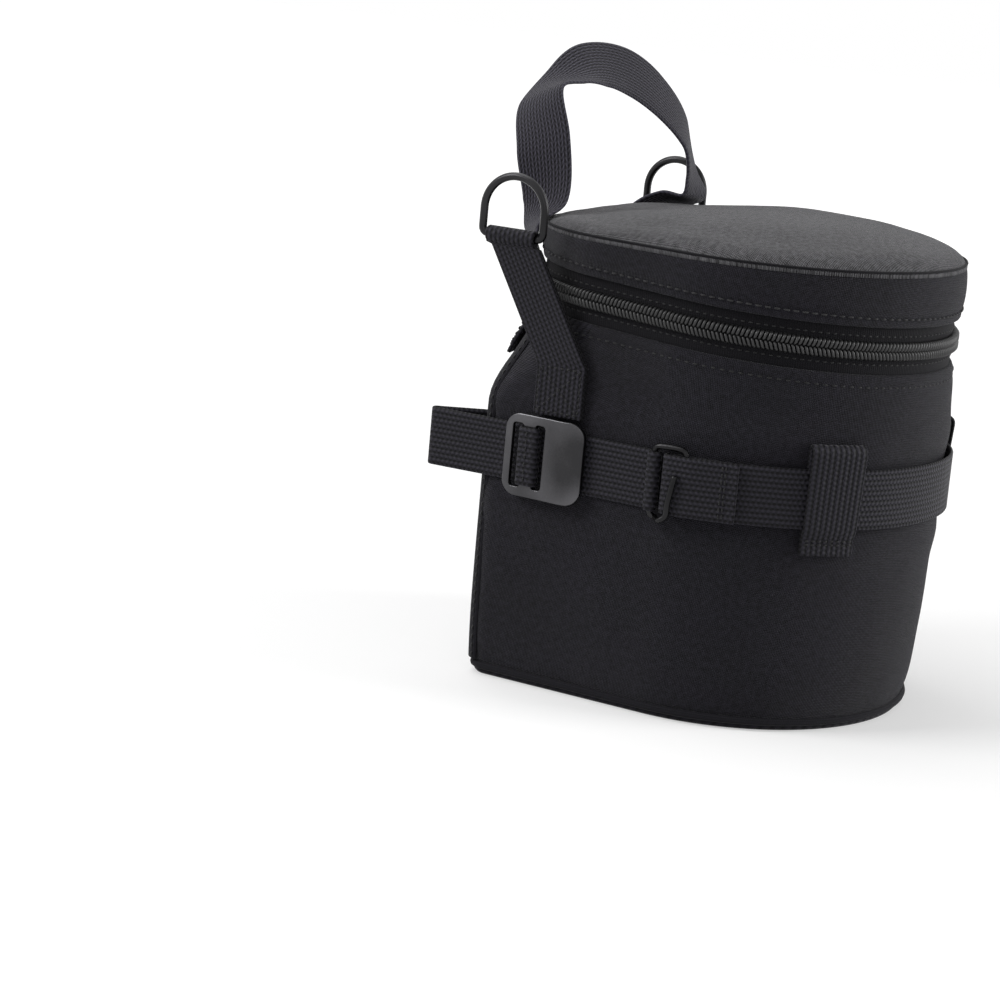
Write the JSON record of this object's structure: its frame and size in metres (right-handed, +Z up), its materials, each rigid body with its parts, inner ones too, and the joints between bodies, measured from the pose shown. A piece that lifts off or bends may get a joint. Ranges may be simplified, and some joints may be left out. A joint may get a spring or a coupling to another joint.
{
  "type": "lens pouch",
  "caption": "Padded fabric lens pouch with a zipped hinged lid, webbing carry handle, two D-rings, belt with buckle and wire hook, and a belt loop on the back.",
  "frame": {"origin": "on the ground under the middle of the base, halfway between the flat back panel and the round nose", "axes": "+Z up, +Y towards the flat back panel, +X towards the pouch's right side; the round nose faces -Y"},
  "size_m": [0.1577, 0.1787, 0.237],
  "materials": {
    "fabric_black": "plain woven nylon",
    "fabric_lid": "plain woven nylon, lid panel",
    "webbing_black": "woven webbing",
    "lining_grey": "knitted lining",
    "foam_grey": "closed-cell foam",
    "zip_black": "zip tape",
    "coil_black": "nylon coil",
    "gunmetal": "dark gunmetal plating"
  },
  "bodies": {
    "body": {"outer_wall": "fabric_black", "back_panel": "fabric_black", "base_panel": "fabric_black", "base_piping": "fabric_black", "back_loop": "fabric_black", "hinge_strip_body": "fabric_black", "edge_binding_left": "webbing_black", "edge_binding_right": "webbing_black", "belt_strap_left": "webbing_black", "belt_strap_nose": "webbing_black", "belt_keeper_left": "webbing_black", "belt_keeper_right": "webbing_black", "ring_tab_left": "webbing_black", "ring_tab_right": "webbing_black", "handle_anchor_left": "webbing_black", "handle_anchor_right": "webbing_black", "body_lining": "lining_grey", "base_padding": "foam_grey", "wall_padding": "foam_grey", "zip_tape_lower": "zip_black", "zip_coil_lower": "coil_black", "wire_hook": "gunmetal"},
    "lid": {"lid_band": "fabric_black", "lid_top": "fabric_lid", "lid_padding": "foam_grey", "lid_lining": "lining_grey", "zip_tape_upper": "zip_black", "zip_coil_upper": "coil_black", "hinge_strip_lid": "fabric_black"},
    "carry_handle": {"carry_handle": "webbing_black"},
    "ring_left": {"d_ring_left": "gunmetal"},
    "ring_right": {"d_ring_right": "gunmetal"},
    "buckle": {"ladder_buckle": "gunmetal", "buckle_webbing": "webbing_black"},
    "slider_front": {"zip_slider_front": "gunmetal"},
    "slider_rear": {"zip_slider_rear": "gunmetal"},
    "pull_front": {"zip_pull_front": "webbing_black"},
    "pull_rear": {"zip_pull_rear": "webbing_black"}
  },
  "joints": [
    {"name": "lid_open", "type": "hinge", "parent": "body", "child": "lid", "pos_m": [0, 0.0773, 0.15081], "axis": [-1, 0, 0], "range_deg": [0, 100]},
    {"name": "handle_swing", "type": "hinge", "parent": "lid", "child": "carry_handle", "pos_m": [0, 0.0773, 0.15081], "axis": [-1, 0, 0], "range_deg": [0, 40]},
    {"name": "ring_left_swing", "type": "hinge", "parent": "body", "child": "ring_left", "pos_m": [-0.0705, 0.07, 0.168], "axis": [0, -1, 0], "range_deg": [0, 90]},
    {"name": "ring_right_swing", "type": "hinge", "parent": "body", "child": "ring_right", "pos_m": [0.0705, 0.07, 0.168], "axis": [0, 1, 0], "range_deg": [0, 90]},
    {"name": "buckle_adjust", "type": "slide", "parent": "body", "child": "buckle", "axis": [-0.0562, -0.9984, 0], "range_m": [-0.003, 0.01]},
    {"name": "slider_front_run", "type": "hinge", "parent": "body", "child": "slider_front", "pos_m": [0, -0.005, 0.14595], "axis": [0, 0.0599, -0.9982], "range_deg": [0, 170]},
    {"name": "slider_rear_run", "type": "slide", "parent": "body", "child": "slider_rear", "axis": [-0.1152, 0.9916, 0.0595], "range_m": [0, 0.01]},
    {"name": "pull_front_swing", "type": "hinge", "parent": "slider_front", "child": "pull_front", "pos_m": [0.07521, -0.00979, 0.14566], "axis": [-0.0634, -0.9962, -0.0598], "range_deg": [0, 150]},
    {"name": "pull_rear_swing", "type": "hinge", "parent": "slider_rear", "child": "pull_rear", "pos_m": [0.07391, 0.01302, 0.14703], "axis": [-0.1152, 0.9916, 0.0595], "range_deg": [0, 150]}
  ]
}
